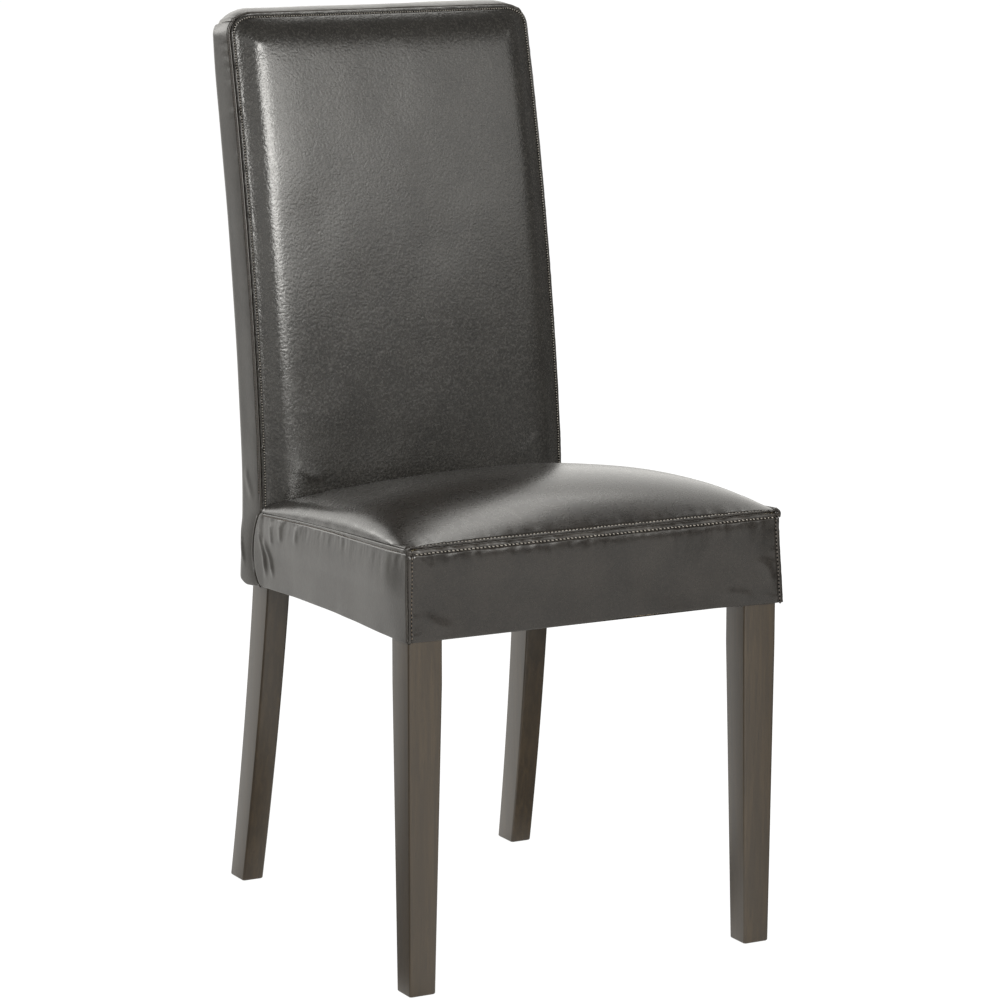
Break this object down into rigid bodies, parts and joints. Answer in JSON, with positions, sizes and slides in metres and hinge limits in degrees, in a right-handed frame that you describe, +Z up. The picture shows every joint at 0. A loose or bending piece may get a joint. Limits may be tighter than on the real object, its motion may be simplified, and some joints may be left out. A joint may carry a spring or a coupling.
{
  "type": "upholstered dining chair",
  "caption": "High-backed dining chair covered in dark brown leather, with a crowned seat, a padded curved back and square tapered stained wooden legs.",
  "frame": {"origin": "on the floor under the middle of the chair's box", "axes": "+Z up; -Y is the way the seated person faces; +X to the right as seen from the front, so names with left lie at -X"},
  "size_m": [0.4444, 0.5552, 0.988],
  "materials": {
    "seat_leather": "dark brown semi-gloss coated leather, fine grain",
    "back_leather": "dark brown semi-gloss coated leather, fine pebbled grain",
    "panel_leather": "dark brown semi-gloss coated leather",
    "stained_wood": "dark grey-brown stained and satin-lacquered hardwood",
    "raw_wood": "unfinished hardwood",
    "dowel_wood": "fluted beech dowel",
    "screw_steel": "zinc-plated steel",
    "webbing": "woven elastic webbing",
    "lining": "non-woven lining",
    "foam": "cut polyurethane foam",
    "wadding": "polyester wadding",
    "hardboard": "pressed hardboard",
    "dust_cloth": "black non-woven cloth"
  },
  "bodies": {
    "root": {"front_leg_left": "stained_wood", "front_leg_right": "stained_wood", "rear_leg_left": "stained_wood", "rear_leg_right": "stained_wood", "front_rail": "raw_wood", "rear_rail": "raw_wood", "side_rail_left": "raw_wood", "side_rail_right": "raw_wood", "back_top_rail": "raw_wood", "back_lower_rail": "raw_wood", "corner_blocks": "raw_wood", "corner_block_screws": "screw_steel", "seat_rail_dowels": "dowel_wood", "back_rail_dowels": "dowel_wood", "seat_straps_long": "webbing", "seat_straps_cross": "webbing", "back_straps": "webbing", "seat_lining": "lining", "seat_foam": "foam", "back_foam": "foam", "back_side_pads": "wadding", "back_top_pad": "wadding", "back_board": "hardboard", "back_rear_wadding": "wadding", "seat_top_cover": "seat_leather", "seat_front_border": "panel_leather", "seat_side_border_left": "panel_leather", "seat_side_border_right": "panel_leather", "back_front_cover": "back_leather", "back_side_band_left": "panel_leather", "back_side_band_right": "panel_leather", "back_top_band": "panel_leather", "back_rear_cover": "panel_leather", "dust_cover": "dust_cloth"}
  },
  "joints": []
}
